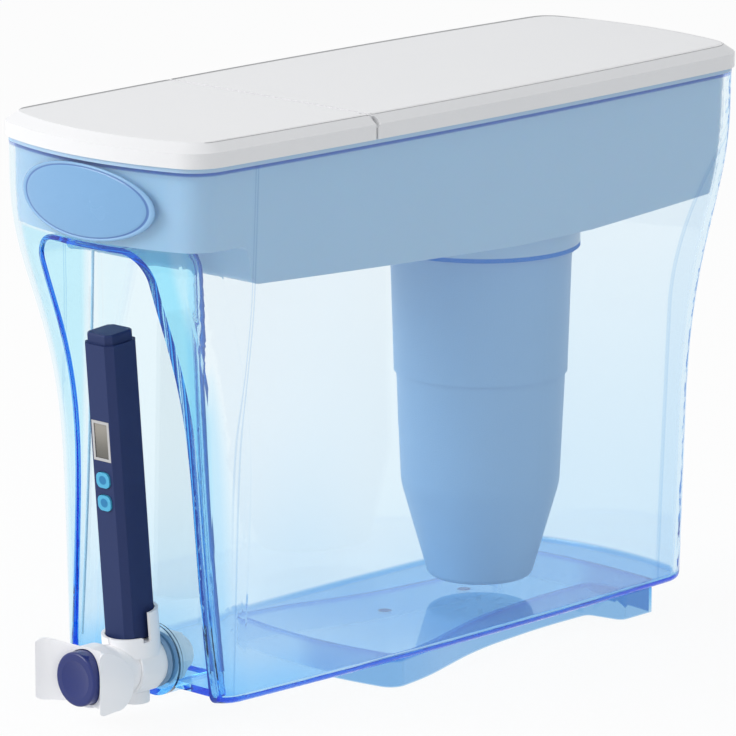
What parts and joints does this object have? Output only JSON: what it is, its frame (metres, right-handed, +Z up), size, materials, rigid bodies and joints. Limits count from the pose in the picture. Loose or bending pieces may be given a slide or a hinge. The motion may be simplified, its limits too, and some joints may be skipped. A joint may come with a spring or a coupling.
{
  "type": "gravity water filter with tap",
  "caption": "Fridge water dispenser: clear tank with front tap alcove, hanging filter under a nested reservoir, hinged lid and pen meter.",
  "frame": {"origin": "on the shelf, under the middle of the whole outline", "axes": "+Z up, -Y towards the tap at the front, +X to the right as seen from the front"},
  "size_m": [0.1372, 0.3863, 0.2691],
  "materials": {
    "clear_blue": "clear blue moulded plastic",
    "reservoir_blue": "opaque light-blue moulded plastic",
    "lid_white": "satin white moulded plastic",
    "badge_blue": "satin blue oval plate",
    "filter_blue": "matt grey-blue moulded plastic",
    "gasket_teal": "teal silicone",
    "screen_blue": "matt blue plastic",
    "foam": "white foam",
    "carbon": "black granules",
    "resin": "amber beads",
    "membrane": "fine white mesh",
    "tap_white": "glossy white moulded plastic",
    "washer_blue": "blue-grey rubber",
    "button_navy": "glossy navy plastic",
    "spring_steel": "stainless spring wire",
    "meter_navy": "satin navy plastic",
    "bezel_silver": "silver paint",
    "screen_grey": "grey liquid-crystal screen",
    "key_cyan": "light-blue keys",
    "steel": "stainless steel",
    "board_green": "circuit board"
  },
  "bodies": {
    "tank": {"tank_body": "clear_blue", "tank_foot": "clear_blue", "front_badge": "badge_blue", "tap_body": "tap_white", "outer_washer": "washer_blue", "inner_washer": "washer_blue", "tap_nut": "tap_white", "return_spring": "spring_steel", "meter_holder": "tap_white"},
    "reservoir": {"upper_reservoir": "reservoir_blue"},
    "lid": {"lid_rear": "lid_white", "hinge_pins": "steel"},
    "flap": {"lid_flap": "lid_white"},
    "filter_seal": {"filter_gasket": "gasket_teal"},
    "filter": {"filter_upper_shell": "filter_blue", "filter_lower_shell": "filter_blue", "filter_screen": "screen_blue", "flow_spreader": "foam", "carbon_bed": "carbon", "resin_bed": "resin", "outlet_membrane": "membrane"},
    "tap_button": {"push_button": "button_navy", "valve_stem": "tap_white", "valve_seal": "washer_blue"},
    "meter_cap": {"probe_cap": "meter_navy"},
    "meter": {"meter_casing": "meter_navy", "meter_probes": "steel", "display_bezel": "bezel_silver", "display_screen": "screen_grey", "circuit_board": "board_green", "button_cells": "steel"},
    "meter_top": {"battery_cap": "meter_navy"},
    "power_key": {"power_button": "key_cyan"},
    "hold_key": {"hold_button": "key_cyan"}
  },
  "joints": [
    {"name": "reservoir_lift", "type": "slide", "parent": "tank", "child": "reservoir", "axis": [0, 0, 1], "range_m": [0, 0.24]},
    {"name": "lid_lift", "type": "slide", "parent": "reservoir", "child": "lid", "axis": [0, 0, 1], "range_m": [0, 0.06]},
    {"name": "flap_hinge", "type": "hinge", "parent": "lid", "child": "flap", "pos_m": [0, -0.068, 0.2664], "axis": [-1, 0, 0], "range_deg": [0, 72]},
    {"name": "filter_drop", "type": "slide", "parent": "reservoir", "child": "filter_seal", "axis": [0, 0, -1], "range_m": [0, 0.005]},
    {"name": "filter_turn", "type": "hinge", "parent": "filter_seal", "child": "filter", "pos_m": [0, 0.0713, 0.1], "axis": [0, 0, 1], "range_deg": [0, 150]},
    {"name": "tap_press", "type": "slide", "parent": "tank", "child": "tap_button", "axis": [0, 1, 0], "range_m": [0, 0.005], "stiffness_N_per_m": 400, "springref_m": -0.004, "deforming": ["return_spring"]},
    {"name": "cap_lift", "type": "slide", "parent": "tank", "child": "meter_cap", "axis": [0, -0.0802, 0.9968], "range_m": [0, 0.014]},
    {"name": "meter_pull", "type": "slide", "parent": "meter_cap", "child": "meter", "axis": [0, -0.0802, 0.9968], "range_m": [0, 0.012]},
    {"name": "battery_cap_pull", "type": "slide", "parent": "meter", "child": "meter_top", "axis": [0, -0.0802, 0.9968], "range_m": [0, 0.008]},
    {"name": "power_press", "type": "slide", "parent": "meter", "child": "power_key", "axis": [0, 0.9968, 0.0802], "range_m": [0, 0.0006], "stiffness_N_per_m": 600, "springref_m": -0.001},
    {"name": "hold_press", "type": "slide", "parent": "meter", "child": "hold_key", "axis": [0, 0.9968, 0.0802], "range_m": [0, 0.0006], "stiffness_N_per_m": 600, "springref_m": -0.001}
  ],
  "couplings": [
    {"joint": "filter_turn", "follows": "filter_drop", "rad_per_m": 523.6}
  ]
}
